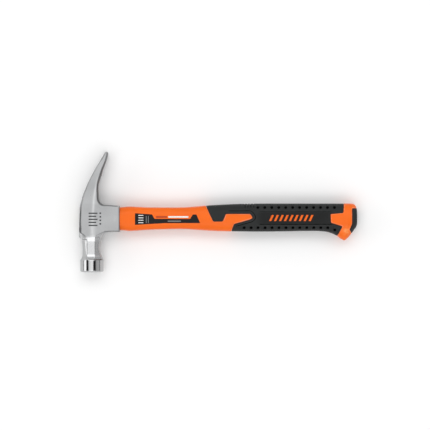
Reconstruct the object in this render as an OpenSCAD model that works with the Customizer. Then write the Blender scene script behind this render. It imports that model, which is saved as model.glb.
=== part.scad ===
// Claw hammer: forged steel head with a straight claw, glass-fibre core, moulded jacket and rubber grip.
// It lies on its side: X runs along the handle, Y along the head with the claw at +Y, and Z is up.
// Shapes are drawn in a drawing frame (u along the handle from the top of the head, v along the head
// from the handle's axis, z from the mid-plane), and in_frame() moves them to the part's own frame.

/* [Head] */
// Distance from the handle's axis to the striking face
face_reach = 65; // [60:0.5:70]
// Distance from the handle's axis to the tip of the claw
claw_reach = 78.8; // [76:0.2:84]
// Diameter of the round poll
poll_w = 27.9; // [26:0.1:30]
// Thickness of the neck at its waist
neck_w = 20.1; // [18:0.1:22]
// Thickness of the cheeks
cheek_t = 24.4; // [24:0.1:27]
// Length of the socket along the handle
socket_len = 48.4; // [46:0.2:50]
// Chamfer round the edges of the cheeks and the claw
edge_chamfer = 1.2; // [0.6:0.1:1.6]
// Height of the slight ridge along each cheek
cheek_crown = 0.6; // [0.2:0.1:1]

/* [Claw] */
// Length of the nail slot, measured along the head
slot_len = 50; // [40:1:52]
// Width of the nail slot at the tips
slot_tip_w = 12; // [8:0.5:13]
// Width of the nail slot at its closed end
slot_root_w = 2; // [1:0.1:3]

/* [Handle] */
// Length of the hammer from the top of the head to the butt
hammer_len = 330.6; // [322:0.2:345]
// Thickness of the butt
butt_t = 27.9; // [26:0.1:28]
// Thickness of the rubber grip
grip_t = 2.4; // [1.6:0.1:3]
// Depth of the glass-fibre core, in the plane of the head
core_d = 17; // [15:0.5:18]
// Thickness of the glass-fibre core
core_t = 12; // [10:0.5:13]

/* [Grip texture] */
// Radius of a dimple
dimple_r = 1.5; // [1:0.1:1.7]
// Distance between dimples
dimple_pitch = 8.28; // [7.5:0.01:8.5]
// Dimples in the upper row
upper_dimples = 12; // [8:1:12]
// Dimples in the straight part of the lower row
lower_dimples = 13; // [8:1:13]

/* [Prints] */
// Thickness of the printed films
film_t = 0.2; // [0.15:0.05:0.3]
// Number of slanted bars in the mark on the grip
mark_bars = 9; // [5:1:9]

/* [Hidden] */

$fn = 48;
eps = 0.01;
butt_half = butt_t / 2;
poll_half = poll_w / 2;
neck_half = neck_w / 2;
cheek_half = cheek_t / 2;
// The head's own axis, and the handle's axis where it enters the socket
head_u = 15;
handle_v = -0.8;
ring_segments = 32;
film_region_h = 40;

// ---- Curves -------------------------------------------------------------------------------------

function mix(a, b, f) = a + (b - a) * f;

// Catmull-Rom curve through a list of stations, with each station a list of numbers
function station(list, i) = list[max(0, min(len(list) - 1, i))];
function blend(list, i, f) =
    let (a = station(list, i - 1), b = station(list, i), c = station(list, i + 1), d = station(list, i + 2))
    0.5 * (2 * b + (c - a) * f + (2 * a - 5 * b + 4 * c - d) * f * f + (3 * b - a - 3 * c + d) * f * f * f);
function smooth(list, steps) = concat(
    [for (i = [0:len(list) - 2]) for (j = [0:steps - 1]) blend(list, i, j / steps)],
    [list[len(list) - 1]]
);

// Closed solid through equal rings of points
module loft(rings) {
    n = len(rings[0]);
    last = len(rings) - 1;
    points = [for (r = rings) for (p = r) p];
    sides = [for (k = [0:last - 1]) for (i = [0:n - 1]) let (j = (i + 1) % n) each [
        [k * n + i, (k + 1) * n + j, k * n + j], [k * n + i, (k + 1) * n + i, (k + 1) * n + j]
    ]];
    start = [for (i = [0:n - 1]) i];
    end = [for (i = [n - 1:-1:0]) last * n + i];
    polyhedron(points, concat([start], sides, [end]));
}

module in_frame() {
    translate([-hammer_len / 2, (face_reach - claw_reach) / 2, poll_half]) children();
}

// Turns a shape extruded upward into one that runs along +u from a given place
module along_handle(from, length) {
    translate([from, 0, 0]) rotate([90, 0, 90]) linear_extrude(length) children();
}

module side_region(points) {
    translate([0, 0, -film_region_h / 2]) linear_extrude(film_region_h) polygon(points);
}

// ---- Head ---------------------------------------------------------------------------------------

octagon = 1 - tan(22.5);

// Sections of the forging from the poll to the tip of the claw: v, top side, handle side, half thickness
function head_stations() = [
    [-face_reach - 1.5, head_u - poll_half - 0.5, head_u + poll_half + 0.5, poll_half + 0.5],
    [-51.4, head_u - poll_half - 0.4, head_u + poll_half + 0.4, poll_half + 0.4],
    [-48.8, 2.2, 28.2, neck_half + 2.7],
    [-46, 3.6, 27.2, neck_half + 1.3],
    [-43, 4, 26.1, neck_half + 0.5],
    [-39, 4, 24.9, neck_half + 0.1],
    [-35.5, 4, 24.4, neck_half],
    [-31, 3.9, 24.9, neck_half + 0.1],
    [-27.5, 3.8, 25.8, neck_half + 0.5],
    [-25.2, 3.4, 26.5, neck_half + 1],
    [-23.4, 0.6, 27.2, neck_half + 1.5],
    [-20.5, 0, 28.9, cheek_half - 0.1],
    [-18.6, 0.3, 30.6, cheek_half],
    [-17, 0.1, 33.5, cheek_half],
    [-15.5, 0.1, 35, cheek_half],
    [0, 0.35, 35, cheek_half],
    [13, 0.9, 35, cheek_half],
    [15.5, 1.4, 31.4, cheek_half],
    [18.3, 2, 27.3, cheek_half + 0.1],
    [22.8, 3, 24.6, mix(cheek_half, poll_half, 0.35)],
    [28.7, 4.9, 22.95, mix(cheek_half, poll_half, 0.75)],
    [35.5, 7.8, 22.8, poll_half],
    [42.3, 10.85, 23.8, poll_half],
    [49.7, 14.6, 25.9, poll_half - 0.1],
    [58.7, 19.5, 28.7, poll_half - 0.3],
    [67.4, 24.7, 31.9, poll_half - 0.7],
    [claw_reach - 4.8, 28.6, 33.8, poll_half - 1.2],
    [claw_reach - 1.8, 30.2, 34, poll_half - 1.7],
    [claw_reach - 0.4, 31.1, 33.4, poll_half - 2.3],
    [claw_reach, 31.7, 32.7, poll_half - 2.8]
];

// The chamfer is wide on the octagonal neck, and narrows to an eased edge on the cheeks and claw
function chamfer_at(s) = let (wide = octagon * min(s[2] - s[1], 2 * s[3]) / 2)
    min(mix(wide, edge_chamfer, max(0, min(1, (s[0] + 24) / 7.5))), (s[2] - s[1]) / 3);
function crown_at(s) = cheek_crown * max(0, min(1, (s[0] + 24) / 7.5));

function head_ring(s) = let (
    c = chamfer_at(s), edge = s[3] - crown_at(s), low = s[1] + c, high = s[2] - c,
    half = [[s[1], edge - c], [low, edge], [mix(low, high, 0.4), s[3]], [mix(low, high, 0.55), s[3]],
        [high, edge], [s[2], edge - c]]
) concat(
    [for (p = half) [p[0], s[0], p[1]]],
    [for (i = [len(half) - 1:-1:0]) [half[i][0], s[0], -half[i][1]]]
);

// Turned outline that rounds the poll: a face that is crowned round a flat middle, a rim and a side
rim_r = 1.5;
face_r = poll_half - rim_r - 0.2;
face_flat_r = 6;
face_crown_r = 90;
function sag(r) = face_crown_r - sqrt(face_crown_r * face_crown_r - r * r);
function crown_drop(r) = sag(r) - sag(face_flat_r);

module poll_envelope() {
    translate([head_u, 0, 0]) rotate([-90, 0, 0]) rotate_extrude($fn = 64) polygon(concat(
        [[0, -face_reach]],
        [for (i = [0:3]) let (r = mix(face_flat_r, face_r, i / 3)) [r, crown_drop(r) - face_reach]],
        [for (a = [75:-15:0]) [
            poll_half - rim_r * (1 - cos(a)),
            crown_drop(face_r) + (rim_r + 0.1) * (1 - sin(a)) - face_reach
        ]],
        [[poll_half, -47], [60, -47], [60, claw_reach + 5], [0, claw_reach + 5]]
    ));
}

module forging() {
    intersection() {
        loft([for (s = smooth(head_stations(), 2)) head_ring(s)]);
        poll_envelope();
    }
}

// Box section round the socket, with its edges and end eased
module socket_box() {
    function ring(u, top, bottom, half) = let (c = edge_chamfer, h = [
        [bottom, half - c], [bottom + c, half], [top - c, half], [top, half - c]
    ]) concat([for (i = [3:-1:0]) [u, h[i][0], h[i][1]]], [for (p = h) [u, p[0], -p[1]]]);
    edge = cheek_half - cheek_crown;
    loft([
        ring(20, 15.6, -16.4, edge), ring(34, 15.5, -16.4, edge),
        ring(socket_len - 1, 14.4, -16.4, edge), ring(socket_len, 13.6, -15.6, edge - 0.8)
    ]);
}

// Space for the handle: a straight socket at the mouth, then a cavity that widens to the top of the head
module oval(d, t, corner) {
    union() {
        square([d, t - 2 * corner], center = true);
        square([d - 2 * corner, t], center = true);
        for (x = [-1, 1], y = [-1, 1])
            translate([x * (d / 2 - corner), y * (t / 2 - corner)]) circle(corner);
    }
}

mouth_depth = 14;
mouth_start = socket_len - mouth_depth;
bond_bottom = [22, 15];
bond_top = [26, 18];
bond_corner = 3.5;

// Solid that fills the bonding cavity between two places along the handle
module bond_space(from, to) {
    function width(u, k) = mix(bond_top[k], bond_bottom[k], u / mouth_start);
    hull() for (u = [from, to - eps])
        along_handle(u, eps) translate([handle_v, 0])
            oval(width(u, 0), width(u, 1), bond_corner, $fn = 32);
}

module socket_mouth(from, to) {
    along_handle(from, to - from) polygon([for (p = handle_ring(handle_stations[0], 0)) [p[1], p[2]]]);
}

module nail_slot() {
    root = claw_reach - slot_len;
    rotate([90, 0, 90]) translate([0, 0, -5]) linear_extrude(50) polygon([
        [root, -slot_root_w / 2], [root, slot_root_w / 2],
        [claw_reach + 1, slot_tip_w / 2], [claw_reach + 1, -slot_tip_w / 2]
    ]);
}

module head() {
    color("silver") in_frame() difference() {
        union() {
            forging();
            socket_box();
        }
        bond_space(-1, mouth_start + eps);
        socket_mouth(mouth_start, socket_len + 1);
        nail_slot();
    }
}

// ---- Joint between head and handle --------------------------------------------------------------

core_from = 2.2;
core_to = from_butt(18.6);
seal_t = 1.5;

module core_bar(from, to) {
    along_handle(from, to - from) translate([handle_v, 0]) oval(core_d, core_t, core_t / 2 - 0.5);
}

module eye_epoxy() {
    color("dimgray") in_frame() difference() {
        bond_space(core_from, mouth_start - seal_t);
        core_bar(core_from - 1, mouth_start);
    }
}

module eye_seal() {
    color("black") in_frame() difference() {
        bond_space(mouth_start - seal_t, mouth_start);
        core_bar(mouth_start - seal_t - 1, mouth_start + 1);
    }
}

module fibreglass_core() {
    color("khaki") in_frame() core_bar(core_from, core_to);
}

// ---- Handle -------------------------------------------------------------------------------------

// The back of the handle keeps its distance from the butt
function from_butt(d) = hammer_len - d;

// Places along the handle: u, upper edge, lower edge, half thickness
handle_stations = [
    [socket_len, 12.6, -14.2, 9.7],
    [53.5, 13, -14.6, 10],
    [58.5, 13.6, -15.3, 10.4],
    [64, 13.4, -15.1, 10.2],
    [73, 12.9, -14.5, 9.6],
    [85, 12.5, -13.8, 9.1],
    [100, 12.4, -13.3, 8.8],
    [115, 12.4, -13, 8.9],
    [128, 12.8, -13.2, 9.4],
    [140, 13.7, -13.9, 10.1],
    [152, 14.8, -14.7, 10.9],
    [166, 15.7, -15.4, 11.6],
    [182, 16.5, -15.8, 12.1],
    [200, 17, -16, 12.4],
    [from_butt(108.6), 17.2, -16.1, 12.5],
    [from_butt(84.6), 17.2, -15.8, 12.3],
    [from_butt(62.6), 17.2, -15.4, 12.2],
    [from_butt(44.6), 17.2, -15.5, 12.4],
    [from_butt(33.6), 17.2, -17, butt_half - 1.1],
    [from_butt(24.6), 17.2, -20.8, butt_half - 0.5],
    [from_butt(18.6), 17.2, -25, butt_half - 0.1],
    [from_butt(14.6), 17.2, -26.4, butt_half],
    [from_butt(10.6), 17.2, -23.2, butt_half],
    [from_butt(6.6), 17.1, -18.4, butt_half - 0.4],
    [from_butt(3.6), 16.4, -14.4, butt_half - 1.1],
    [from_butt(1.6), 14.6, -11.5, butt_half - 2],
    [from_butt(0.6), 12.2, -9.8, butt_half - 3],
    [hammer_len, 9.6, -8, butt_half - 4.4]
];
roundness = 2.6;

// Rounded section of the handle, drawn in by a distance
function handle_ring(s, by) = let (
    mid = (s[1] + s[2]) / 2, depth = (s[1] - s[2]) / 2 - by, half = s[3] - by
) [for (i = [0:ring_segments - 1]) let (a = 360 * i / ring_segments, c = cos(a), w = sin(a))
    [s[0], mid + depth * sign(c) * pow(abs(c), 2 / roundness), half * sign(w) * pow(abs(w), 2 / roundness)]];

// Body of the handle, or the stretch of it between two places
module handle_body(by, from = 0, to = 400) {
    loft([for (s = smooth(handle_stations, 2)) if (s[0] >= from && s[0] <= to) handle_ring(s, by)]);
}

// Height of the surface above a place on the side of the handle
function handle_at(u, k) = lookup(u, [for (s = handle_stations) [s[0], s[k]]]);
function surface_z(u, v) = let (
    top = handle_at(u, 1), bottom = handle_at(u, 2), f = abs(2 * v - top - bottom) / (top - bottom)
) handle_at(u, 3) * pow(max(0, 1 - pow(f, roundness)), 1 / roundness);

// Side view of the rubber grip, which leaves an arrow of the jacket in front and a tongue behind
grip_region = [
    [147.8, 21], [159.5, -4.2], [170.8, -4], [174.5, 4.9],
    [203.2, 5], [205.4, 3.6], [206.3, 0.6], [204.4, -1.5],
    [184.2, -7.2], [175.6, -30], [from_butt(28.6), -30], [from_butt(17.6), -10],
    [from_butt(29.8), -6], [from_butt(31.6), -4], [from_butt(31.7), 3.4], [from_butt(30.4), 5],
    [from_butt(18.2), 5.9], [from_butt(16), 8.4], [from_butt(15.5), 21]
];
bumper_region = [
    [from_butt(6), 11.4], [from_butt(-4.4), 11.4], [from_butt(-4.4), -21],
    [from_butt(5), -21], [from_butt(8.9), -13.8], [from_butt(6), -6.8]
];
first_upper_dimple = from_butt(118.1);
first_lower_dimple = from_butt(134.3);
dimple_drop = 2.6;

module dimples() {
    module hole(u, v) {
        for (side = [-1, 1]) translate([u, v, side * (surface_z(u, v) + 0.3)]) sphere(dimple_r, $fn = 24);
    }
    for (i = [0:upper_dimples - 1]) hole(first_upper_dimple + i * dimple_pitch, 12.6);
    for (i = [0:lower_dimples - 1]) hole(first_lower_dimple + i * dimple_pitch, -11.6);
    hole(first_lower_dimple + lower_dimples * dimple_pitch, -11.6 - dimple_drop);
}

module grip_overmold() {
    color("#2b2d2c") in_frame() difference() {
        intersection() {
            handle_body(0, 140, from_butt(8));
            side_region(grip_region);
        }
        handle_body(grip_t, 140, from_butt(8));
        dimples();
    }
}

module handle_jacket() {
    color("#f2661b") in_frame() difference() {
        union() {
            handle_body(0);
            socket_mouth(mouth_start, socket_len);
        }
        difference() {
            side_region(grip_region);
            handle_body(grip_t, 140, from_butt(8));
        }
        side_region(bumper_region);
        core_bar(mouth_start - 1, core_to);
    }
}

module butt_bumper() {
    color("#2b2d2c") in_frame() intersection() {
        handle_body(0, from_butt(20));
        side_region(bumper_region);
    }
}

// ---- Prints -------------------------------------------------------------------------------------

label_region = [
    [66.5, 5.7], [86.7, 4.3], [89.7, -1], [132, -1.1], [135.2, 4.2],
    [139.5, 4.2], [143.9, -6], [102, -6.1], [66.5, -8.1]
];

// A film on one side of a stretch of the handle: side is 1 for the front and -1 for the back
module film(side, from, to) {
    difference() {
        intersection() {
            handle_body(-film_t, from, to);
            translate([0, 0, side > 0 ? 2 : -22]) linear_extrude(20) children();
        }
        handle_body(0, from, to);
    }
}

module neck_label(side) {
    color("#202020") in_frame() film(side, 58, 153) polygon(label_region);
}

mark_from = from_butt(104.8);
mark_len = 52.8;
mark_h = 7.2;
mark_slant = 0.45;
module grip_mark(side) {
    pitch = mark_len / mark_bars;
    color("#f2661b") in_frame() film(side, from_butt(110), from_butt(40))
        for (i = [0:mark_bars - 1]) translate([mark_from + i * pitch, 0]) polygon([
            [0, -mark_h / 2], [pitch * (1 - mark_slant), -mark_h / 2],
            [pitch, mark_h / 2], [pitch * mark_slant, mark_h / 2]
        ]);
}

head();
eye_epoxy();
eye_seal();
fibreglass_core();
handle_jacket();
grip_overmold();
butt_bumper();
neck_label(1);  // neck_label_front
neck_label(-1);  // neck_label_back
grip_mark(1);  // grip_mark_front
grip_mark(-1);  // grip_mark_back
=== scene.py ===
"""A claw hammer lying on its side: forged steel head, orange jacket, black rubber grip.

Each visible piece is a solid described by a distance field in millimetres, in the drawing frame
(u along the handle from the top of the head, v along the head from the handle's axis, z from the
mid-plane). contour() turns a field into a mesh, and place() puts the mesh in the frame.
"""

import math

import bmesh
import bpy
import numpy as np
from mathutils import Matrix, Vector


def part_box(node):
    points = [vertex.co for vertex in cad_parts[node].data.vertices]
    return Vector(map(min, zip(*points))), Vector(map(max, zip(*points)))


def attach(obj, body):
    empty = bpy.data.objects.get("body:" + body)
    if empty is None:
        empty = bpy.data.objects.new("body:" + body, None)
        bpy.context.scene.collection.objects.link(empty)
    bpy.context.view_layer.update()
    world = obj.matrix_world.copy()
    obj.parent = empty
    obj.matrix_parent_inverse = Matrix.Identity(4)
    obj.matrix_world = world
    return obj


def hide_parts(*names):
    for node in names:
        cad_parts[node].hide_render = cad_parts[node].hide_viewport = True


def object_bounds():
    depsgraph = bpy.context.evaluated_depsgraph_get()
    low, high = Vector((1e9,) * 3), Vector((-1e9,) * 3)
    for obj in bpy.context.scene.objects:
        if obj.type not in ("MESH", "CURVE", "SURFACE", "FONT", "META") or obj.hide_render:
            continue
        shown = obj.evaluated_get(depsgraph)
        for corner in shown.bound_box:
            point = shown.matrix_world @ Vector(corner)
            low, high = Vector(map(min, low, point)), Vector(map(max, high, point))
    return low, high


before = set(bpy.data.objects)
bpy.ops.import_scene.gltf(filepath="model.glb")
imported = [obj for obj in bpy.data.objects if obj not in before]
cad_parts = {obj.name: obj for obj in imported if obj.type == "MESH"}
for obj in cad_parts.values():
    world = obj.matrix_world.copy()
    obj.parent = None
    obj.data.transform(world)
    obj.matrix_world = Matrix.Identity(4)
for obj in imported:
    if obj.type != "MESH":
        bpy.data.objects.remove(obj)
CAD_LOW, CAD_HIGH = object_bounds()

MM = 0.001
# The drawing frame is found from the core, whose middle is a little off the handle's axis
CORE_LOW, CORE_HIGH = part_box("fibreglass_core")
CORE_V = -0.8
AXIS_Y = (CORE_LOW.y + CORE_HIGH.y) / 2 - CORE_V * MM
MID_Z = (CORE_LOW.z + CORE_HIGH.z) / 2
LENGTH = (CAD_HIGH.x - CAD_LOW.x) / MM
FACE_V = (CAD_LOW.y - AXIS_Y) / MM
TIP_V = (CAD_HIGH.y - AXIS_Y) / MM
ORIGIN = np.array([CAD_LOW.x, AXIS_Y, MID_Z])


# ---- Curves and fields --------------------------------------------------------------------------


def smooth_curve(stations, steps=8):
    """Catmull-Rom curve through rows of numbers, sampled so that np.interp can follow it."""
    p = np.array(stations, float)
    p = np.vstack([p[0], p, p[-1]])
    rows = []
    for a, b, c, d in zip(p[:-3], p[1:-2], p[2:-1], p[3:]):
        bend, twist = 2 * a - 5 * b + 4 * c - d, 3 * b - a - 3 * c + d
        for f in np.arange(steps) / steps:
            rows.append(0.5 * (2 * b + (c - a) * f + bend * f**2 + twist * f**3))
    rows.append(p[-1])
    return np.array(rows)


def along(curve, column, x):
    return np.interp(x, curve[:, 0], curve[:, column])


def step(low, high, x):
    """0 below low, 1 above high, and smooth between."""
    t = np.clip((x - low) / (high - low), 0, 1)
    return t * t * (3 - 2 * t)


def between(x, low, high, soft):
    """1 from low to high and 0 outside, with soft ends."""
    return step(low - soft, low + soft, x) * (1 - step(high - soft, high + soft, x))


def ridge(x, centre, width):
    """1 at the centre, falling smoothly to 0 on both sides."""
    return np.exp(-(((x - centre) / width) ** 2))


def round_max(a, b, r):
    """Intersection of two fields, with the edge between them rounded."""
    return np.minimum(-r, np.maximum(a, b)) + np.hypot(np.maximum(r + a, 0), np.maximum(r + b, 0))


def round_min(a, b, r):
    """Union of two fields, with the corner between them filleted."""
    return -round_max(-a, -b, r)


def rounded_box(x, y, half_x, half_y, r):
    """Field of a rectangle with round corners."""
    qx, qy = np.abs(x) - half_x + r, np.abs(y) - half_y + r
    return np.hypot(np.maximum(qx, 0), np.maximum(qy, 0)) + np.minimum(np.maximum(qx, qy), 0) - r


def round_corners(points, radius, steps=5):
    """Polygon with each corner replaced by an arc-like curve."""
    out = []
    n = len(points)
    for i, p in enumerate(points):
        p = np.array(p, float)
        a, b = np.array(points[i - 1], float) - p, np.array(points[(i + 1) % n], float) - p
        la, lb = np.linalg.norm(a), np.linalg.norm(b)
        cut = min(radius, la / 2.2, lb / 2.2)
        start, end = p + a / la * cut, p + b / lb * cut
        for t in np.linspace(0, 1, steps):
            out.append((1 - t) ** 2 * start + 2 * t * (1 - t) * p + t**2 * end)
    return np.array(out)


def polygon_field(points, x, y):
    """Signed distance to a polygon, negative inside."""
    shape = np.broadcast(x, y).shape
    px, py = np.broadcast_to(x, shape), np.broadcast_to(y, shape)
    best = np.full(shape, 1e9)
    inside = np.zeros(shape, bool)
    for (ax, ay), (bx, by) in zip(points, np.roll(points, -1, axis=0)):
        ex, ey = bx - ax, by - ay
        t = np.clip(((px - ax) * ex + (py - ay) * ey) / (ex * ex + ey * ey), 0, 1)
        best = np.minimum(best, (px - ax - t * ex) ** 2 + (py - ay - t * ey) ** 2)
        if ey:
            crosses = (ay > py) != (by > py)
            inside ^= crosses & (px < ax + (py - ay) / ey * ex)
    return np.where(inside, -1, 1) * np.sqrt(best)


# ---- Meshes -------------------------------------------------------------------------------------


def axes(low, high, pitch):
    """Grid coordinates over a box, each shaped to broadcast along its own axis."""
    lines = [np.arange(a, b + pitch, pitch) for a, b in zip(low, high)]
    half = math.ceil(high[2] / pitch)
    lines[2] = np.arange(-half, half + 1) * pitch
    return [line.reshape([-1 if i == k else 1 for i in range(3)]) for k, line in enumerate(lines)]


# Curvature, per millimetre, at which an edge counts as fully sharp
SHARP_CURVATURE = 1.5


def edge_field(values, cell, pitch, reach=2):
    """How sharp the surface is at each cell: above 0 on an outer edge, below 0 in a hollow."""
    size = np.array(values.shape) - 1
    here = values[tuple(cell.T)]
    total = -6 * here
    for axis in range(3):
        for way in (-reach, reach):
            near = cell.copy()
            near[:, axis] = np.clip(near[:, axis] + way, 0, size[axis])
            total += values[tuple(near.T)]
    return np.clip(total / (reach * pitch) ** 2 / SHARP_CURVATURE, -1, 1)


def crossed_cells(inside):
    """The cells that the surface crosses, and an array that gives each one its number."""
    cells = tuple(n - 1 for n in inside.shape)
    count = np.zeros(cells, np.int8)
    for i in (0, 1):
        for j in (0, 1):
            for k in (0, 1):
                count += inside[i : cells[0] + i, j : cells[1] + j, k : cells[2] + k]
    active = (count > 0) & (count < 8)
    index = np.full(cells, -1)
    index[active] = np.arange(active.sum())
    return np.argwhere(active), index


def cell_points(values, cell):
    """Mean place, in cells, where the surface crosses each cell's twelve edges."""
    total, hits = np.zeros((len(cell), 3)), np.zeros(len(cell))
    for axis in range(3):
        others = [a for a in range(3) if a != axis]
        for i in (0, 1):
            for j in (0, 1):
                low = cell.copy()
                low[:, others[0]] += i
                low[:, others[1]] += j
                high = low.copy()
                high[:, axis] += 1
                f0, f1 = values[tuple(low.T)], values[tuple(high.T)]
                cross = (f0 < 0) != (f1 < 0)
                t = np.where(cross, f0 / np.where(cross, f0 - f1, 1), 0)
                place_in_cell = (low - cell).astype(float)
                place_in_cell[:, axis] += t
                total += place_in_cell * cross[:, None]
                hits += cross
    return cell + total / hits[:, None]


def edge_quads(inside, index):
    """One quad round each grid edge that the surface crosses."""
    quads = []
    for axis in range(3):
        a, b = [(1, 2), (2, 0), (0, 1)][axis]
        lower, upper = [slice(None)] * 3, [slice(None)] * 3
        lower[axis], upper[axis] = slice(None, -1), slice(1, None)
        first, second = inside[tuple(lower)], inside[tuple(upper)]
        p = np.argwhere(first != second)
        p = p[(p[:, a] > 0) & (p[:, b] > 0) & (p[:, a] < index.shape[a]) & (p[:, b] < index.shape[b])]
        da, db = np.zeros(3, int), np.zeros(3, int)
        da[a], db[b] = 1, 1
        ring = np.stack([index[tuple((p - x).T)] for x in (0 * da, da, da + db, db)], axis=1)
        flip = ~first[tuple(p.T)]
        ring[flip] = ring[flip][:, ::-1]
        quads.append(ring)
    return np.vstack(quads)


def contour(values, grid):
    """Surface nets: one vertex in each cell that the surface crosses, one quad round each crossed edge."""
    inside = values < 0
    cell, index = crossed_cells(inside)
    start = np.array([line.ravel()[0] for line in grid])
    pitch = np.array([line.ravel()[1] - line.ravel()[0] for line in grid])
    verts = cell_points(values, cell) * pitch + start
    return verts, edge_quads(inside, index), edge_field(values, cell, pitch[0])


def to_frame(points):
    return np.asarray(points) * MM + ORIGIN


def place(name, verts, faces, material, slot, *nodes, marks=None):
    """Makes a piece from vertices in the drawing frame, puts it under the root body and hides the CAD nodes
    that it stands for.
    """
    mesh = bpy.data.meshes.new(name)
    mesh.from_pydata(to_frame(verts).tolist(), [], [list(f) for f in faces])
    mesh.polygons.foreach_set("use_smooth", [True] * len(mesh.polygons))
    mesh.materials.append(material)
    for key, values in (marks or {}).items():
        mesh.attributes.new(key, "FLOAT", "POINT").data.foreach_set("value", values)
    mesh.update()
    piece = bpy.data.objects.new(name, mesh)
    bpy.context.scene.collection.objects.link(piece)
    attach(piece, "root")
    if nodes:
        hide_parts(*nodes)
    return piece


# ---- Shape of the head --------------------------------------------------------------------------

HEAD_PITCH = 0.36
POLL_U, POLL_R, POLL_START_V = 15.0, 13.95, -44
RIM_R = 1.5
FACE_CROWN_R = 90.0
SLOT_ROOT_V, SLOT_ROOT_HALF, SLOT_TIP_HALF = 28.8, 1.0, 6.0
# The socket's box in the side view, whose upper edge tapers from BOX_TAPER_U towards the handle
BOX_START_U, BOX_END_U, BOX_TAPER_U = 12, 48.4, 33
BOX_TOP_V, BOX_BOTTOM_V, BOX_TAPER = 15.5, -16.35, 0.075
CLAW_FILLET, NECK_FILLET = 7.8, 7.5
# The space for the epoxy: half sizes at the top of the head, how much they narrow, corner radius, and depth
BOND_HALF_V, BOND_HALF_Z, BOND_NARROW_V, BOND_NARROW_Z, BOND_R = 13, 9, 2, 1.5, 3.5
SOCKET_FLOOR_U = 34.4
# Slopes of the cheek away from its ridge, towards the top of the head and towards the handle
CROWN_SLOPES = (0.09, 0.045)

# Side view without the socket box: v, top side, handle side, half thickness
HEAD = smooth_curve(
    [
        (-80, 0.5, 29.5, 14.5),
        (-60, 0.5, 29.5, 14.5),
        (-51.4, 0.6, 29.4, 14.35),
        (-48.8, 2.2, 28.2, 12.65),
        (-46, 3.6, 27.2, 11.2),
        (-43, 4, 26.1, 10.35),
        (-39, 4, 24.9, 10.15),
        (-35.5, 4, 24.4, 10.05),
        (-31, 3.9, 24.9, 10.15),
        (-27.5, 3.8, 25.8, 10.5),
        (-25.4, 3.5, 26.4, 11.05),
        (-23.8, 0.9, 26.9, 11.55),
        (-20.5, 0, 27.4, 12.15),
        (-18.6, 0.3, 27.4, 12.2),
        (-17, 0.1, 27, 12.2),
        (-15.5, 0.05, 26, 12.2),
        (-8, 0.15, 25.5, 12.2),
        (0, 0.35, 25, 12.2),
        (7, 0.65, 24.1, 12.2),
        (12, 0.9, 23.6, 12.2),
        (16, 1.6, 23.4, 12.2),
        (21, 2.9, 23.2, 12.7),
        (28.7, 5.15, 22.9, 13.5),
        (35.5, 8.1, 22.7, 13.95),
        (42.3, 10.9, 23.6, 13.95),
        (49.7, 14.6, 25.9, 13.85),
        (58.7, 19.5, 28.7, 13.6),
        (67.4, 24.7, 31.9, 13.2),
        (74, 28.6, 33.7, 12.7),
        (77, 30.3, 34.2, 12.5),
        (79, 31.4, 33.8, 12.3),
    ]
)

# Where the ridge lies: v, then u
CHEEK_RIDGE = ((-20, 0, 15, 25, 33, 38, 44, 57, 79), (16.2, 16.2, 17.2, 18, 19.3, 20.9, 22.2, 26.5, 32.5))
CHEEK_FOOT_V = -14
# Sides of the broad facet down the neck, and where the facet beside it turns steeper: v, then u
FACET_TOP_U, FACET_GRIP_U = 9.6, 19.0
FACET_BREAK = ((-52, -47, -40, -34.5, -26.4), (6, 8.5, 7.85, 7.3, 6.6))
# Degrees by which the facets fall: narrow bevels, towards the head's top, towards the handle, past a break
BEVEL_FALL, TOP_FALL, GRIP_FALL, STEEP_FALL = 45, 33, 37, 60
# How far inside the outline the facet towards the handle turns steeper
GRIP_BREAK = 1.3
# Moves a facet clear of the forging where there is none
CLEAR = 12
LIP_STEP = 1.0
# Half thickness that the neck's facet on the handle's side keeps up to the poll's shoulder
SHOULDER_HALF = 11.4


def side_distance(v, u, column, sign):
    """Distance in the side view to one edge of the forging."""
    slope = np.gradient(HEAD[:, column], HEAD[:, 0] + np.arange(len(HEAD)) * 1e-9)
    return sign * (u - along(HEAD, column, v)) / np.sqrt(1 + np.interp(v, HEAD[:, 0], slope) ** 2)


def head_outline(u, v):
    """Field of the head in the side view."""
    top, back = side_distance(v, u, 1, -1), side_distance(v, u, 2, 1)
    blade = round_max(round_max(top, back, 0.6), v - TIP_V, 1.3)
    upper = BOX_TOP_V - BOX_TAPER * np.maximum(u - BOX_TAPER_U, 0)
    box = np.maximum(np.maximum(v - upper, BOX_BOTTOM_V - v), np.maximum(u - BOX_END_U, BOX_START_U - u))
    return np.where(v > 0, round_min(blade, box, CLAW_FILLET), round_min(blade, box, NECK_FILLET))


def cheek_ridge(v):
    """Where the soft ridge runs along the cheek and up the claw."""
    return np.interp(v, *CHEEK_RIDGE)


def head_half(u, v):
    """Half thickness of the head at a place in the side view: two slopes that meet in a soft ridge."""
    off = u - cheek_ridge(v)
    slope = np.where(off < 0, *CROWN_SLOPES)
    crown = slope * (np.sqrt(off**2 + 3) - math.sqrt(3)) * step(-26, -18, v)
    return along(HEAD, 3, v) - crown * (1 - 0.4 * step(30, 60, v))


def bevel_width(u, v):
    """Width of the narrow bevel, less along the claw's back and less again on the socket."""
    claw = 1.5 - 0.6 * step(15, 30, v) * (1 - step(5, 9, u - along(HEAD, 1, v)))
    return claw - 0.65 * step(26, 32, u) * (1 - step(15, 18, v))


def sloped(distance, side, degrees):
    """Field of a plane that leaves the side of the head at distance 0 and falls at an angle."""
    return distance * math.sin(math.radians(degrees)) + side * math.cos(math.radians(degrees))


def below_cheek(u, v):
    """Distance past the line where the cheek and the neck's middle facet end, on the handle's side."""
    under = -(v + 19.9 - 0.33 * np.clip(u - FACET_GRIP_U, 0, 14)) / 1.05
    return round_min(u - FACET_GRIP_U, under, 3.5)


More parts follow.
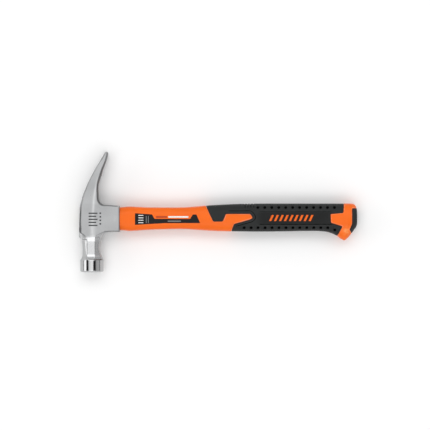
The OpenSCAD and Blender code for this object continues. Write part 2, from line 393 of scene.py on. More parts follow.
def top_facets(u, v, side):
    """The two facets of the neck towards the top of the head."""
    turn = np.interp(v, *FACET_BREAK)
    fallen = side + (FACET_TOP_U - turn) * math.tan(math.radians(TOP_FALL))
    facets = np.maximum(sloped(FACET_TOP_U - u, side, TOP_FALL), sloped(turn - u, fallen, STEEP_FALL))
    return facets - CLEAR * (1 - between(v, -50.8, -24.6, 0.6))


def grip_facets(u, v, outline, side):
    """The two facets of the neck towards the handle, which run on under the cheek."""
    past = below_cheek(u, v)
    side = side + np.maximum(along(HEAD, 3, v) - SHOULDER_HALF, 0) * (v < -40)
    depth = (past - outline - GRIP_BREAK) * math.tan(math.radians(GRIP_FALL))
    steep = sloped(outline + GRIP_BREAK, side + depth, STEEP_FALL)
    return np.maximum(sloped(past, side, GRIP_FALL), steep) - CLEAR * (1 - step(-50.2, -49.6, v))


def narrow_bevel(u, v, outline, side):
    return sloped(outline + bevel_width(u, v), side, BEVEL_FALL)


def facet_field(u, v, outline, side):
    """Narrow bevels along the edges of the side, and the broad facets of the neck."""
    broad = round_max(top_facets(u, v, side), grip_facets(u, v, outline, side), 0.2)
    return round_max(narrow_bevel(u, v, outline, side), broad, 0.25)


def past_diagonal(u, v):
    """Distance below the diagonal edge where the cheek steps down to the lip above the neck."""
    return -(v + 17.3 + 0.666 * (u - 1.8)) / 1.2


def lip_step(u, v):
    """Depth of the step down to the lip, which dies away towards the middle of the neck."""
    return LIP_STEP * (1 - step(3, 10, u)) * np.clip(past_diagonal(u, v) / 0.9 + 0.5, 0, 1)


def neck_share(u, v, past):
    """1 on the neck and on the facet under the cheek, and 0 on the rest of the head."""
    start = -24.2 + 1.9 * step(8.2, 9.4, u)
    neck = np.maximum(1 - step(-0.7, 0.25, v - start), step(0.35, 0.8, past) * (v < CHEEK_FOOT_V))
    return neck * (1 - step(30, 33, u))


def painted_shade_share(u, v, outline, side, past):
    """How much painted shade darkens the steel: on narrow bevels, under the cheek and at the poll's shoulder,
    standing in for dark reflections.
    """
    reach = np.where(u < cheek_ridge(v), 0.2 + 0.45 * (1 - step(-14, -4, v)), 0)
    narrow = step(-0.45, -0.15, narrow_bevel(u, v, outline, side) + reach)
    narrow = narrow * (1 - neck_share(u, v, past)) * (v > -22)
    narrow = narrow * (1 - 0.8 * step(45.5, 46.5, u)) * (1 - step(-0.3, 0.3, past_diagonal(u, v)))
    faded = np.where(u < cheek_ridge(v) - 3, 1 - step(4, 20, v), 0.8 - 0.55 * step(62, 76, v))
    border = 0.5 * ridge(past, 0.1, 0.7) * step(22, 25, u) * (v < CHEEK_FOOT_V)
    shoulder = 0.2 * between(v, -50.6, -48.6, 0.4) * step(19, 20, u)
    return np.maximum(narrow * faded, np.maximum(border, shoulder))


def head_highlight_share(u, v, side):
    """How strongly a highlight is painted on the head: along the cheek's ridge and on the lip above the neck.
    """
    width = 1.6 + 1.6 * (1 - step(-10, 4, v))
    on_ridge = ridge(u, cheek_ridge(v), width) * between(v, -22, 48, 4) * step(-0.6, -0.2, side)
    on_lip = 0.6 * step(0.5, 0.9, past_diagonal(u, v)) * (1 - step(8, 10, u))
    return np.maximum(on_ridge, on_lip)


def head_polish_and_painted_light(verts):
    """Where the head is polished (0.5 neck, 1 poll), where shade is painted dark and where a highlight is
    painted bright.
    """
    u, v, z = verts.T
    outline, side, past = head_outline(u, v), np.abs(z) - head_half(u, v), below_cheek(u, v)
    return {
        "polish": 0.5 * neck_share(u, v, past) + 0.5 * (1 - step(-50.5, -48.5, v)),
        "bevel": painted_shade_share(u, v, outline, side, past),
        "rubbed": head_highlight_share(u, v, side),
    }


def slot_half(u, v):
    """Half width of the nail slot, which widens to the tip and flares at both faces of the claw."""
    run = np.clip((v - SLOT_ROOT_V) / (TIP_V - SLOT_ROOT_V), 0, 1)
    half = SLOT_ROOT_HALF + (SLOT_TIP_HALF - SLOT_ROOT_HALF) * run
    inner = np.maximum(u - along(HEAD, 2, v) + 3, 0)
    outer = np.maximum(along(HEAD, 1, v) + 0.8 - u, 0)
    return half + 0.75 * inner + 0.6 * outer


def bond_field(u, v, z):
    """Field of the space that the epoxy fills, which narrows towards the handle."""
    f = np.clip(u / SOCKET_FLOOR_U, 0, 1)
    half_v, half_z = BOND_HALF_V - BOND_NARROW_V * f, BOND_HALF_Z - BOND_NARROW_Z * f
    return rounded_box(v - CORE_V, z, half_v, half_z, BOND_R)


def head_field(u, v, z):
    height = np.abs(z)
    outline, half = head_outline(u, v), head_half(u, v)
    side = height - half
    body = round_max(outline, side + lip_step(u, v), 0.45)
    body = round_max(body, facet_field(u, v, outline, side), 0.3)
    radius = np.hypot(u - POLL_U, z)
    sag = radius**2 / (2 * FACE_CROWN_R)
    poll = round_max(radius - POLL_R, FACE_V + sag - v, RIM_R)
    body = np.where(v < POLL_START_V, round_max(body, poll, 0.5), body)
    slot = np.maximum((height - slot_half(u, v)) / 1.1, SLOT_ROOT_V - v)
    body = round_max(body, -slot, 0.45)
    mouth = handle_section(np.full_like(u, BOX_END_U), v, z)
    cavity = np.where(u < SOCKET_FLOOR_U, bond_field(u, v, z), mouth)
    return round_max(body, -cavity, 0.35)


# ---- Shape of the handle ------------------------------------------------------------------------

JACKET_PITCH, RUBBER_PITCH = 0.5, 0.4
ROUNDNESS = 2.6
GRIP_T = 2.4
# Half the gap between two pieces, and the radius of their edges along it
SEAM = 0.1
EDGE_R = 0.4
JACKET_START_U = 34.6
PARTING_HEIGHT, PARTING_WIDTH = 0.14, 0.55


def from_butt(d):
    return LENGTH - d


# u, upper edge, lower edge, half thickness
HANDLE = smooth_curve(
    [
        (48.4, 12.6, -14.2, 9.7),
        (53.5, 13, -14.6, 10),
        (58.5, 13.6, -15.3, 10.4),
        (64, 13.4, -15.1, 10.2),
        (73, 12.9, -14.5, 9.6),
        (85, 12.5, -13.8, 9.1),
        (100, 12.4, -13.3, 8.8),
        (115, 12.4, -13, 8.9),
        (128, 12.8, -13.2, 9.4),
        (140, 13.7, -13.9, 10.1),
        (152, 14.8, -14.7, 10.9),
        (166, 15.7, -15.4, 11.6),
        (182, 16.5, -15.8, 12.1),
        (200, 17, -16, 12.4),
        (from_butt(108.6), 17.2, -16.1, 12.5),
        (from_butt(84.6), 17.2, -15.8, 12.3),
        (from_butt(62.6), 17.2, -15.4, 12.2),
        (from_butt(44.6), 17.2, -15.5, 12.4),
        (from_butt(33.6), 17.2, -17, 12.85),
        (from_butt(24.6), 17.2, -20.8, 13.45),
        (from_butt(18.6), 17.2, -25, 13.85),
        (from_butt(14.6), 17.2, -26.4, 13.95),
        (from_butt(10.6), 17.2, -23.2, 13.95),
        (from_butt(6.6), 17.1, -18.4, 13.55),
        (from_butt(3.6), 16.4, -14.4, 12.85),
        (from_butt(1.6), 14.6, -11.5, 11.95),
        (from_butt(0.6), 12.2, -9.8, 10.95),
        (LENGTH, 9.6, -8, 9.55),
    ]
)


def handle_section(u, v, z):
    """Field of the handle, close to a distance near its surface."""
    top, bottom, half = (along(HANDLE, k, u) for k in (1, 2, 3))
    mid, depth = (top + bottom) / 2, (top - bottom) / 2
    a, b = np.abs(v - mid) / depth, np.abs(z) / half
    n = ROUNDNESS
    size = np.maximum(a**n + b**n, 1e-6) ** (1 / n)
    slope = np.hypot(a ** (n - 1) / depth, b ** (n - 1) / half) / size ** (n - 1)
    return (size - 1) / np.maximum(slope, 0.02)


def handle_z(u, v):
    """Height of the handle's side above the mid-plane."""
    top, bottom, half = (along(HANDLE, k, u) for k in (1, 2, 3))
    a = np.abs(2 * v - top - bottom) / (top - bottom)
    return half * np.maximum(1 - a**ROUNDNESS, 0) ** (1 / ROUNDNESS)


GRIP_REGION = round_corners(
    [
        (147.8, 21), (159.5, -4.2), (170.8, -4), (174.5, 4.9), (203.2, 5), (206.5, 0.6), (204.4, -1.5),
        (184.2, -7.2), (175.6, -30), (from_butt(28.6), -30), (from_butt(17.6), -10),
        (from_butt(31.4), -5.6), (from_butt(31.8), 4.8), (from_butt(16.6), 6.1), (from_butt(15.5), 21),
    ],
    1.3,
)
BUMPER_REGION = round_corners(
    [
        (from_butt(6), 11.4), (from_butt(-4.4), 11.4), (from_butt(-4.4), -21),
        (from_butt(5), -21), (from_butt(8.9), -13.8), (from_butt(6), -6.8),
    ],
    0.8,
)
DIMPLE_R, DIMPLE_DEPTH, DIMPLE_FLOOR_R, DIMPLE_MOUTH_R = 1.65, 1.3, 0.8, 0.3
# Half width of the block of grid that one hole can change
DIMPLE_BLOCK = 4
DIMPLE_PITCH = 8.28
UPPER_ROW_U, LOWER_ROW_U = from_butt(118.1), from_butt(134.3)
DIMPLES = (
    [(UPPER_ROW_U + i * DIMPLE_PITCH, 12.6) for i in range(12)]
    + [(LOWER_ROW_U + i * DIMPLE_PITCH, -11.6) for i in range(13)]
    + [(LOWER_ROW_U + 13 * DIMPLE_PITCH, -14.2)]
)
# Relief of the grip: the smooth panel, the ribs across the upper edge, and heights and depths
PANEL_START_U, PANEL_END_U, PANEL_BOTTOM_V, PANEL_TOP_V = 214, from_butt(31), -7.4, 6.8
GROOVES_V = (7.2, -7.8)
RIBS_U = (197, 200.5, 204, 207.5)
PAD_HEIGHT, PANEL_DEPTH, GROOVE_DEPTH, RIB_DEPTH = 0.3, 0.2, 0.45, 0.55
# The painted highlight on the butt's hook
HOOK_U, HOOK_V, HOOK_WIDTH = from_butt(13), -15.5, 4.2


def drill_dimples(values, grid):
    """Round blind holes in the grip, cut only where each one is."""
    u, v, z = (g.ravel() for g in grid)
    for cu, cv in DIMPLES:
        for side in (-1, 1):
            skin = handle_z(cu, cv)
            centres = ((u, cu), (v, cv), (z, side * skin))
            spans = [np.flatnonzero(np.abs(line - c) < DIMPLE_BLOCK) for line, c in centres]
            window = tuple(slice(s[0], s[-1] + 1) for s in spans)
            off_axis = np.hypot(u[window[0]][:, None, None] - cu, v[window[1]][None, :, None] - cv)
            above = side * z[window[2]][None, None, :] - (skin - DIMPLE_DEPTH)
            hole = round_max(off_axis - DIMPLE_R, -above, DIMPLE_FLOOR_R)
            values[window] = round_max(values[window], -hole, DIMPLE_MOUTH_R)
    return values


def grip_panel_and_hole_shade(verts):
    """Where the vertices on the walls and floors of the holes are, which get painted shade, and those of the
    smooth panel.
    """
    u, v, z = verts.T
    nearest = np.min([np.hypot(u - cu, v - cv) for cu, cv in DIMPLES], axis=0)
    hole = (nearest < DIMPLE_R + 0.2) & (handle_z(u, v) - np.abs(z) > 0.15)
    return {"hole": hole.astype(float), "smooth_panel": panel_share(u, v)}


def panel_share(u, v):
    """1 on the smooth middle panel of the grip and 0 on its textured bands."""
    return between(v, PANEL_BOTTOM_V, PANEL_TOP_V, 0.4) * between(u, PANEL_START_U, PANEL_END_U, 6)


def grip_relief(u, v):
    """Height added to the grip: a line round the nose, grooves along the panel, pads between holes, ribs."""
    region = polygon_field(GRIP_REGION, u, v)
    nose = ridge(region, -3.4, 0.5) * between(u, 178, PANEL_START_U, 2) * between(v, -10, 9, 1)
    grooves = sum(ridge(v, centre, 0.45) for centre in GROOVES_V)
    grooves = grooves * between(u, PANEL_START_U, from_butt(30), 4)
    phase = (u - DIMPLES[0][0]) / DIMPLE_PITCH
    pad = step(0.2, 0.3, np.abs(phase - np.round(phase))) * between(u, 192, from_butt(24), 4)
    pads = pad * (between(v, 9.6, 15.4, 0.5) + between(v, -14.4, -8.9, 0.5))
    ribs = sum(ridge(u, centre, 0.7) for centre in RIBS_U) * step(11, 13, v)
    smooth = PAD_HEIGHT * pads - GROOVE_DEPTH * nose - PANEL_DEPTH * panel_share(u, v)
    return smooth - GROOVE_DEPTH * grooves - RIB_DEPTH * ribs


def grip_field(u, v, z):
    skin = handle_section(u, v, z)
    region = polygon_field(GRIP_REGION, u, v) + SEAM
    outer = round_max(skin - grip_relief(u, v), region, EDGE_R)
    return np.maximum(outer, -(skin + GRIP_T))


def jacket_field(u, v, z):
    skin = handle_section(u, v, z)
    ends = np.maximum(JACKET_START_U - u, u - LENGTH)
    parting = PARTING_HEIGHT * ridge(z, 0, PARTING_WIDTH)
    skin_out = round_max(skin - parting, ends, 1.2)
    pocket = np.maximum(polygon_field(GRIP_REGION, u, v) - SEAM, -(skin + GRIP_T))
    body = round_max(skin_out, -pocket, EDGE_R)
    return round_max(body, -(polygon_field(BUMPER_REGION, u, v) - SEAM), EDGE_R)


def jacket_highlight_marks(verts):
    """How strongly a highlight is painted on the hook of the butt, on each side."""
    u, v, _ = verts.T
    across, along_hook = (u - HOOK_U) / HOOK_WIDTH, (v - HOOK_V) / HOOK_WIDTH
    return {"rubbed": np.exp(-(across**2) - along_hook**2)}


def bumper_field(u, v, z):
    """Field of the insert, whose seam closes below the surface so that nothing shows through it."""
    skin = np.maximum(handle_section(u, v, z), u - LENGTH)
    seam = SEAM - 2 * SEAM * step(1.0, 1.8, -skin)
    return round_max(skin, polygon_field(BUMPER_REGION, u, v) + seam, EDGE_R)


# ---- Materials ----------------------------------------------------------------------------------


class Tree:
    """Adds nodes to a tree and links them."""

    def __init__(self, tree):
        self.tree = tree

    def set(self, socket, value):
        if isinstance(value, bpy.types.NodeSocket):
            self.tree.links.new(value, socket)
        else:
            socket.default_value = value

    def add(self, kind, inputs=None, **settings):
        """A new node, with its inputs given by name or by number."""
        node = self.tree.nodes.new(kind)
        for key, value in settings.items():
            setattr(node, key, value)
        for key, value in (inputs or {}).items():
            self.set(node.inputs[key], value)
        return node

    def remap(self, value, low, high, to_low=0.0, to_high=1.0, interpolation="LINEAR"):
        inputs = {"Value": value, "From Min": low, "From Max": high, "To Min": to_low, "To Max": to_high}
        node = self.add("ShaderNodeMapRange", inputs, interpolation_type=interpolation)
        return node.outputs["Result"]

    def math(self, operation, a, b=0.0):
        return self.add("ShaderNodeMath", {0: a, 1: b}, operation=operation).outputs[0]

    def mix(self, factor, a, b):
        node = self.add("ShaderNodeMix", data_type="RGBA")
        for key, value in (("Factor", factor), ("A", a), ("B", b)):
            self.set(node.inputs[key], value)
        return node.outputs["Result"]


class Nodes(Tree):
    """The tree of a new material."""

    def __init__(self, name):
        self.material = bpy.data.materials.new(name)
        self.material.use_nodes = True
        super().__init__(self.material.node_tree)
        self.shader = self.tree.nodes["Principled BSDF"]

    def attribute(self, name):
        return self.add("ShaderNodeAttribute", attribute_name=name).outputs["Fac"]

    def coords(self, scale=(1, 1, 1)):
        place_node = self.add("ShaderNodeTexCoord")
        mapping = self.add("ShaderNodeMapping", {"Vector": place_node.outputs["Object"], "Scale": scale})
        return mapping.outputs["Vector"]

    def noise(self, scale, detail=3.0, roughness=0.5, vector=None):
        inputs = {"Vector": vector or self.coords(), "Scale": scale, "Detail": detail, "Roughness": roughness}
        return self.add("ShaderNodeTexNoise", inputs).outputs["Fac"]

    def bump(self, height, distance, strength=1.0, under=None):
        node = self.add("ShaderNodeBump", {"Height": height, "Distance": distance, "Strength": strength})
        if under:
            self.set(node.inputs["Normal"], under)
        return node.outputs["Normal"]

    def finish(self, **inputs):
        for key, value in inputs.items():
            self.set(self.shader.inputs[key.replace("_", " ")], value)
        return self.material


def rgb(r, g, b):
    return (r, g, b, 1.0)


def steel_material():
    """Satin cheeks, claw and socket, and a polished neck and poll."""
    n = Nodes("forged_steel")
    edge, polish, bevel, rubbed = (n.attribute(name) for name in ("edge", "polish", "bevel", "rubbed"))
    brushed = n.noise(60, 4, 0.6, n.coords((14, 1.2, 14)))
    broad = n.noise(45, 2)
    fine = n.noise(900, 3)
    tone = n.mix(n.remap(polish, 0, 0.5, 0, 1), rgb(0.31, 0.314, 0.318), rgb(0.45, 0.454, 0.458))
    tone = n.mix(n.remap(broad, 0.35, 0.65, 0, 0.14), tone, rgb(0.54, 0.544, 0.548))
    tone = n.mix(n.remap(fine, 0.4, 0.7, 0, 0.1), tone, rgb(0.225, 0.225, 0.232))
    worn = n.math("MULTIPLY", n.remap(edge, 0.5, 0.95, 0, 0.2), n.remap(fine, 0.35, 0.6, 0.3, 1))
    tone = n.mix(worn, tone, rgb(0.56, 0.565, 0.57))
    # Painted highlight: brighter steel along the cheek's ridge and on the lip above the neck.
    rubbed = n.math("MULTIPLY", rubbed, n.remap(brushed, 0.3, 0.6, 0.45, 1))
    tone = n.mix(rubbed, tone, rgb(0.45, 0.454, 0.458))
    # Painted shade: darker steel on the narrow bevels, under the cheek and at the poll's shoulder, standing in
    # for dark reflections.
    bevel = n.math("MULTIPLY", bevel, n.remap(fine, 0.35, 0.65, 0.95, 0.75))
    tone = n.mix(bevel, tone, rgb(0.105, 0.107, 0.109))
    # Painted shade: darker steel in hollows, where the edge value is below 0.
    tone = n.mix(n.remap(edge, -0.2, -0.8, 0, 0.6), tone, rgb(0.08, 0.08, 0.08))
    satin_rough = n.remap(brushed, 0.3, 0.7, 0.27, 0.36)
    rough = n.remap(polish, 0.5, 1, n.remap(polish, 0, 0.5, satin_rough, 0.24), 0.12)
    rough = n.math("MAXIMUM", rough, n.remap(bevel, 0, 0.7, 0, 0.6))
    normal = n.bump(brushed, 0.00003, 0.3)
    normal = n.bump(broad, 0.0004, 0.1, normal)
    return n.finish(Base_Color=tone, Metallic=1.0, Roughness=rough, Normal=normal)


def plastic_material(name, dark, light, rough=(0.34, 0.44), specular=0.2, highlight_colour=rgb(0.9, 0.9, 0.9)):
    """Plastic, resin or ink, mottled between two colours and worn pale on its edges, with painted shade in its
    hollows and a painted highlight where marked.
    """
    n = Nodes(name)
    edge = n.attribute("edge")
    broad = n.noise(30, 3)
    scuff = n.noise(260, 4, 0.7, n.coords((0.25, 1, 1)))
    grain = n.noise(1800, 2)
    tone = n.mix(n.remap(broad, 0.35, 0.65, 0, 1), dark, light)
    worn = n.math("MULTIPLY", n.remap(edge, 0.2, 0.8, 0, 0.22), n.remap(scuff, 0.4, 0.6, 0.2, 1))
    tone = n.mix(worn, tone, rgb(*[0.5 + 0.5 * c for c in light[:3]]))
    # Painted highlight where marked: on the jacket, the hook of the butt.
    rubbed = n.math("MULTIPLY", n.attribute("rubbed"), n.remap(n.noise(300, 2), 0.4, 0.6, 0.15, 0.5))
    tone = n.mix(rubbed, tone, highlight_colour)
    # Painted shade: darker in hollows.
    tone = n.mix(n.remap(edge, -0.2, -0.9, 0, 0.5), tone, rgb(*[0.3 * c for c in dark[:3]]))
    rough = n.math("ADD", n.remap(broad, 0.3, 0.7, *rough), n.remap(scuff, 0.55, 0.75, 0, 0.12))
    normal = n.bump(grain, 0.00003, 0.4)
    normal = n.bump(scuff, 0.00004, 0.25, normal)
    return n.finish(Base_Color=tone, Roughness=rough, Specular_IOR_Level=specular, Normal=normal)


def rubber_material(name):
    """Grained black rubber, smoother on the grip's panel, with painted shade that turns its hollows and holes
    near black and dull.
    """
    n = Nodes(name)
    edge = n.attribute("edge")
    broad = n.noise(40, 3)
    dust = n.noise(500, 4, 0.7)
    cells = n.add("ShaderNodeTexVoronoi", {"Vector": n.coords(), "Scale": 1400.0})
    panel = n.attribute("smooth_panel")
    tone = n.mix(n.remap(broad, 0.35, 0.65, 0, 1), rgb(0.0125, 0.014, 0.014), rgb(0.0165, 0.018, 0.018))
    tone = n.mix(panel, tone, rgb(0.0055, 0.0062, 0.0062))
    worn = n.math("MULTIPLY", n.remap(edge, 0.1, 0.6, 0, 0.35), n.remap(dust, 0.4, 0.6, 0.3, 1))
    tone = n.mix(worn, tone, rgb(0.035, 0.037, 0.037))
    # Painted shade: hollows and holes turn near black.
    tone = n.mix(n.remap(edge, -0.1, -0.5, 0, 0.95), tone, rgb(0.0005, 0.0005, 0.0005))
    rough = n.math("ADD", n.remap(broad, 0.3, 0.7, 0.5, 0.6), n.remap(edge, -0.1, -0.5, 0, 0.35))
    grain = n.math("MULTIPLY", cells.outputs["Distance"], n.remap(panel, 0, 1, 1, 0.3))
    normal = n.bump(grain, 0.00008, 0.6)
    shine = n.remap(edge, -0.1, -0.5, 0.2, 0)
    return n.finish(Base_Color=tone, Roughness=rough, Specular_IOR_Level=shine, Normal=normal)


STEEL = steel_material()
ORANGE = plastic_material(
    "orange_jacket", rgb(0.79, 0.122, 0.0035), rgb(0.84, 0.138, 0.0045), highlight_colour=rgb(0.92, 0.46, 0.17)
)
RUBBER = rubber_material("black_rubber")
EPOXY = plastic_material("cast_epoxy", rgb(0.012, 0.012, 0.014), rgb(0.02, 0.02, 0.022), (0.15, 0.3))
FIBRE = plastic_material("sawn_fibreglass", rgb(0.55, 0.47, 0.26), rgb(0.66, 0.6, 0.38), (0.5, 0.65))
FILM = plastic_material(
    "label_film", rgb(0.006, 0.006, 0.0065), rgb(0.009, 0.009, 0.0095), (0.35, 0.45), specular=0.15
)
WHITE_INK = plastic_material("white_ink", rgb(0.78, 0.77, 0.75), rgb(0.84, 0.83, 0.81), (0.4, 0.5))
RED_INK = plastic_material("dark_red_ink", rgb(0.42, 0.05, 0.011), rgb(0.47, 0.062, 0.014), (0.4, 0.5))
GREY_INK = plastic_material("grey_ink", rgb(0.18, 0.18, 0.18), rgb(0.23, 0.23, 0.23), (0.4, 0.5))
ORANGE_INK = plastic_material("orange_ink", rgb(0.76, 0.115, 0.005), rgb(0.8, 0.13, 0.006), (0.4, 0.5))
ETCH = plastic_material("etched_mark", rgb(0.045, 0.047, 0.048), rgb(0.07, 0.072, 0.074), (0.5, 0.6))


# ---- Pieces -------------------------------------------------------------------------------------


def solid(name, field, low, high, pitch, material, slot, *nodes, after=None, finish=None):
    """A piece from a field: after changes the sampled field, and finish gives the vertices' attributes."""
    grid = axes(low, high, pitch)
    values = field(*grid)
    if after:
        values = after(values, grid)
    verts, faces, edge = contour(values, grid)
    marks = {"edge": edge}
    if finish:
        marks.update(finish(verts))
        # A hole counts as a hollow all over, so painted shade darkens all of it
        marks["edge"] = np.where(marks.pop("hole", edge * 0) > 0, -1, edge)
    return place(name, verts, faces, material, slot, *nodes, marks=marks)


def cut_sheet(outline, pitch):
    """Flat patch inside an outline, cut along a grid so that it can be draped: vertices and faces."""
    if sum(a[0] * b[1] - b[0] * a[1] for a, b in zip(outline, outline[1:] + outline[:1])) < 0:
        outline = outline[::-1]
    bm = bmesh.new()
    bm.faces.new([bm.verts.new((x, y, 0)) for x, y in outline])
    low, high = np.min(outline, axis=0), np.max(outline, axis=0)
    for axis, normal in enumerate((Vector((1, 0, 0)), Vector((0, 1, 0)))):
        for at in np.arange(low[axis] + pitch, high[axis], pitch):
            geometry = bm.verts[:] + bm.edges[:] + bm.faces[:]
            bmesh.ops.bisect_plane(bm, geom=geometry, plane_co=normal * float(at), plane_no=normal)
    flat = np.array([v.co[:] for v in bm.verts])
    bm.verts.index_update()
    faces = [[v.index for v in f.verts] for f in bm.faces]
    bm.free()
    return flat, faces


def film(name, outline, surface, side, lift, material, slot, *nodes):
    """A thin printed patch draped on a side: outline in the side view, side 1 or -1."""
    flat, faces = cut_sheet(outline, FILM_PITCH)
    height = surface(flat[:, 0], flat[:, 1]) + lift
    top = np.column_stack([flat[:, :2], side * height])
    if side < 0:
        faces = [f[::-1] for f in faces]
    piece = place(name, top, faces, material, slot, *nodes)
    thick = piece.modifiers.new("thickness", "SOLIDIFY")
    thick.thickness = lift * MM * 1.5
    thick.offset = -1
    return piece


def bars(name, shapes, surface, side, lift, material, slot, *nodes):
    """Several patches joined into one piece."""
    pieces = [film(f"{name}_{i}", s, surface, side, lift, material, slot) for i, s in enumerate(shapes)]
    bm = bmesh.new()
    for p in pieces:
        bm.from_mesh(p.data)
    joined = pieces[0]
    bm.to_mesh(joined.data)
    bm.free()
    for p in pieces[1:]:
        bpy.data.objects.remove(p)
    joined.name = name
    if nodes:
        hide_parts(*nodes)
    return joined


def rectangle(u, v, length, height):
    return [(u, v), (u + length, v), (u + length, v + height), (u, v + height)]


# Height above the mid-plane that each piece is sampled to, and the spacing of the cuts in a print
GRID_TOP_Z, FILM_PITCH = 15, 1.0
# How far each print stands above the surface below it
FILM_LIFT, INK_LIFT, MARK_LIFT, ETCH_LIFT = 0.1, 0.16, 0.12, 0.02
LABEL = [
    (66.5, 5.7), (86.7, 4.3), (89.7, -1), (132, -1.1), (135.2, 4.2), (139.5, 4.2), (143.9, -6), (102, -6.1),
    (66.5, -8.1),
]
MARK_START, MARK_LENGTH, MARK_HEIGHT, MARK_BARS, MARK_SLANT = from_butt(104.8), 52.8, 7.2, 9, 0.55


def make_solids():
    solid(
        "hammer_head", head_field, (-1.5, FACE_V - 1.5, 0), (50, TIP_V + 1.5, GRID_TOP_Z), HEAD_PITCH, STEEL,
        "head_steel", "head", finish=head_polish_and_painted_light,
    )
    solid(
        "jacket", jacket_field, (33.5, -28, 0), (LENGTH + 1.5, 19, GRID_TOP_Z), JACKET_PITCH, ORANGE,
        "orange_jacket", "handle_jacket", finish=jacket_highlight_marks,
    )
    solid(
        "rubber_grip", grip_field, (148, -28, 0), (from_butt(13), 19, GRID_TOP_Z), RUBBER_PITCH, RUBBER,
        "black_grip", "grip_overmold", after=drill_dimples, finish=grip_panel_and_hole_shade,
    )
    solid(
        "butt_insert", bumper_field, (from_butt(10), -20, 0), (LENGTH + 1.5, 13.5, GRID_TOP_Z), RUBBER_PITCH,
        RUBBER, "black_bumper", "butt_bumper",
    )


def mark_bars():
    """The row of slanted bars on the grip."""
    pitch = MARK_LENGTH / MARK_BARS
    low, high = -MARK_HEIGHT / 2, MARK_HEIGHT / 2
    return [
        [(s, low), (s + pitch * (1 - MARK_SLANT), low), (s + pitch, high), (s + pitch * MARK_SLANT, high)]
        for s in (MARK_START + i * pitch for i in range(MARK_BARS))
    ]


def grip_side(u, v):
    return handle_z(u, v) + grip_relief(u, v)


def make_prints(side, word):
    """The label, the grip's mark and the etching on one side. Plain bars stand where lettering would be."""
    film(f"label_{word}", LABEL, handle_z, side, FILM_LIFT, FILM, "label_film", f"neck_label_{word}")
    white = [rectangle(70.5, -6 + 2.9 * i, 6, 0.9) for i in range(4)] + [rectangle(106, 0.3, 24, 2)]
    bars(f"label_white_{word}", white, handle_z, side, INK_LIFT, WHITE_INK, "label_film")
    red = [rectangle(91.5, 0.3, 13, 2)]
    bars(f"label_red_{word}", red, handle_z, side, INK_LIFT, RED_INK, "label_film")
    grey = [rectangle(79.5, -6, 0.7, 8.5), rectangle(82, -6, 0.7, 8.5), rectangle(105.5, -4.4, 15.5, 1.3)]
    bars(f"label_grey_{word}", grey, handle_z, side, INK_LIFT, GREY_INK, "label_film")
    marks = mark_bars()
    bars(f"mark_{word}", marks, grip_side, side, MARK_LIFT, ORANGE_INK, "orange_print", f"grip_mark_{word}")
    etched = [rectangle(11.5, -9.5 + 3.6 * i, 10.5 - 1.5 * (i % 2), 1.5) for i in range(5)]
    etched += [rectangle(24.4, -7.8 + 4.2 * i, 1.9, 1.8) for i in range(4)]
    bars(f"etching_{word}", etched, head_half, side, ETCH_LIFT, ETCH, "head_steel")


def finish_cad_nodes():
    """Better materials for the CAD nodes whose shapes are kept."""
    for node, material in (("eye_epoxy", EPOXY), ("eye_seal", RUBBER), ("fibreglass_core", FIBRE)):
        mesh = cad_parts[node].data
        mesh.materials.clear()
        mesh.materials.append(material)


# ---- Floor, light and camera --------------------------------------------------------------------


FLOOR_HALF = 6.0


def make_floor():
    mesh = bpy.data.meshes.new("floor")
    corners = [(x * FLOOR_HALF, y * FLOOR_HALF, CAD_LOW.z) for x, y in ((-1, -1), (1, -1), (1, 1), (-1, 1))]
    mesh.from_pydata(corners, [], [(0, 1, 2, 3)])
    n = Nodes("pale_floor")
    mesh.materials.append(n.finish(Base_Color=rgb(0.88, 0.88, 0.88), Roughness=0.9, Specular_IOR_Level=0.1))
    floor = bpy.data.objects.new("floor", mesh)
    bpy.context.scene.collection.objects.link(floor)


# Brightness of the studio by angle from overhead, in degrees, in the upright plane along the handle. Angles
# above 0 lean towards the butt.
STUDIO = [
    (-180, 0.45), (-116, 0.45), (-108, 0.06), (-85, 0.06), (-80, 2.1), (-57, 2.1), (-54, 0.02), (-33, 0.02),
    (-30, 1.26), (-12, 1.4), (-5, 1.6), (8, 1.66), (12, 1.66), (16, 0.02), (38, 0.02), (42, 0.56), (60, 0.7),
    (80, 0.7), (86, 0.12), (108, 0.12), (116, 0.4), (180, 0.45),
]
# Brightness of the light over each end of the head: high up, half way down, and near the floor
END_HIGH, END_LOW, END_GAP = 2.5, 0.85, 0.9
# The brightest value above, which the colours of the ramp are a share of
STUDIO_TOP = 2.5
# What the camera sees behind the floor
BACKDROP = 1.02
# A small offset and a width put the hammer where it should be in the picture, in metres
VIEW_OFFSET, VIEW_WIDTH = Vector((-0.0037, -0.0033, 0)), 0.5122
LENS_MM, SENSOR_MM = 300, 36


def light(level):
    """The world's colour for a brightness, as a share of the brightest."""
    return rgb(*[level / STUDIO_TOP] * 3)


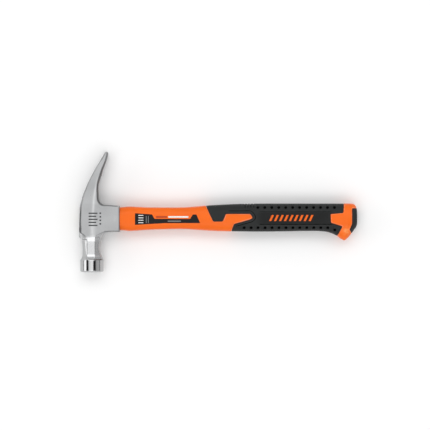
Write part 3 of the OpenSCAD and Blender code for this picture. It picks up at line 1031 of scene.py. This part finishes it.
def strip_lights(n, x, z):
    """Strip lights and dark gaps that run parallel to the head, from a ramp over the angle from overhead."""
    across = n.remap(n.math("ARCTAN2", x, z), -math.pi, math.pi)
    ramp = n.add("ShaderNodeValToRGB", {0: across})
    stops = ramp.color_ramp.elements
    stops[0].position, stops[-1].position = 0, 1
    for degrees, _ in STUDIO[1:-1]:
        stops.new((degrees + 180) / 360)
    for stop, (_, level) in zip(stops, STUDIO):
        stop.color = light(level)
    return ramp.outputs["Color"]


def make_world():
    """A studio: strip lights and dark gaps over most of the sky, and a broad light at each end of the head."""
    world = bpy.data.worlds.new("studio")
    bpy.context.scene.world = world
    world.use_nodes = True
    n = Tree(world.node_tree)
    direction = n.add("ShaderNodeTexCoord").outputs["Generated"]
    x, y, z = n.add("ShaderNodeSeparateXYZ", {0: direction}).outputs
    upper = n.mix(n.remap(z, 0.68, 0.76, interpolation="SMOOTHSTEP"), light(END_LOW), light(END_HIGH))
    ends = n.mix(n.remap(z, 0.34, 0.42, interpolation="SMOOTHSTEP"), light(END_GAP), upper)
    tilt = n.remap(n.math("ABSOLUTE", y), 0.3, 0.38, interpolation="SMOOTHSTEP")
    lit = n.mix(tilt, strip_lights(n, x, z), ends)
    seen = n.add("ShaderNodeLightPath").outputs["Is Camera Ray"]
    background = world.node_tree.nodes["Background"]
    n.set(background.inputs["Color"], n.mix(seen, lit, light(BACKDROP)))
    background.inputs["Strength"].default_value = STUDIO_TOP


def make_camera():
    data = bpy.data.cameras.new("camera")
    data.lens, data.sensor_width = LENS_MM, SENSOR_MM
    data.clip_end = 50
    camera = bpy.data.objects.new("camera", data)
    centre = (CAD_LOW + CAD_HIGH) / 2 + VIEW_OFFSET
    distance = VIEW_WIDTH / 2 / (SENSOR_MM / 2 / LENS_MM)
    camera.location = centre + Vector((0, 0, distance))
    bpy.context.scene.collection.objects.link(camera)
    bpy.context.scene.camera = camera


make_solids()
for side, word in ((1, "front"), (-1, "back")):
    make_prints(side, word)
finish_cad_nodes()
make_floor()
make_world()
make_camera()
bpy.context.scene.view_settings.view_transform = "Standard"
